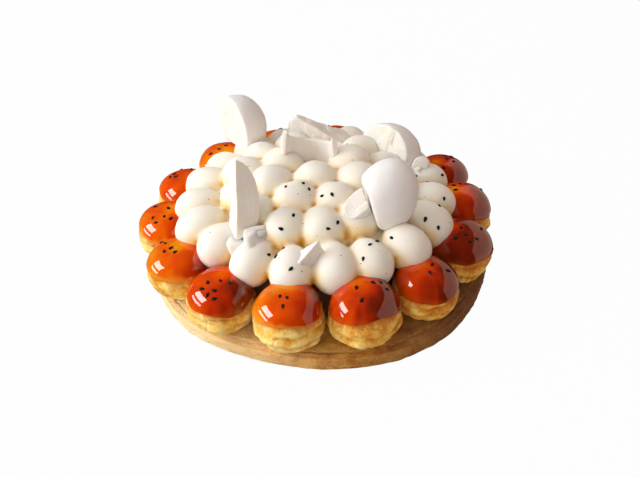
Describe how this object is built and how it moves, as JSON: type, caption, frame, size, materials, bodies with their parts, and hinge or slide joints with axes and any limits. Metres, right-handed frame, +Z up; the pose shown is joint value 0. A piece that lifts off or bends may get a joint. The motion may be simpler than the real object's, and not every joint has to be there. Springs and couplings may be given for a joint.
{
  "type": "saint honore pastry",
  "caption": "Round pastry base carrying a ring of caramel-capped cream puffs around heaped piped cream, with broken meringue pieces and black sesame seeds.",
  "frame": {"origin": "centre of the ring of puffs, on the underside of the base", "axes": "+Z up, -Y towards the front as pictured, +X to the right as pictured"},
  "size_m": [0.2264, 0.2253, 0.0945],
  "materials": {
    "base_pastry": "matte",
    "puff_pastry": "matte",
    "caramel": "gloss",
    "cream": "satin",
    "meringue": "matte",
    "sesame": "satin"
  },
  "bodies": {
    "root": {"base": "base_pastry", "puff_01": "puff_pastry", "puff_02": "puff_pastry", "puff_03": "puff_pastry", "puff_04": "puff_pastry", "puff_05": "puff_pastry", "puff_06": "puff_pastry", "puff_07": "puff_pastry", "puff_08": "puff_pastry", "puff_09": "puff_pastry", "puff_10": "puff_pastry", "puff_11": "puff_pastry", "puff_12": "puff_pastry", "puff_13": "puff_pastry", "puff_14": "puff_pastry", "caramel_01": "caramel", "caramel_02": "caramel", "caramel_03": "caramel", "caramel_04": "caramel", "caramel_05": "caramel", "caramel_06": "caramel", "caramel_07": "caramel", "caramel_08": "caramel", "caramel_09": "caramel", "caramel_10": "caramel", "caramel_11": "caramel", "caramel_12": "caramel", "caramel_13": "caramel", "caramel_14": "caramel", "cream": "cream", "meringue_left_back": "meringue", "meringue_left_slab": "meringue", "meringue_middle_shell": "meringue", "meringue_back_wedge": "meringue", "meringue_right_back": "meringue", "meringue_right_dome": "meringue", "meringue_dome_rim": "meringue", "meringue_front_flake": "meringue", "meringue_right_chip": "meringue"}
  },
  "joints": []
}
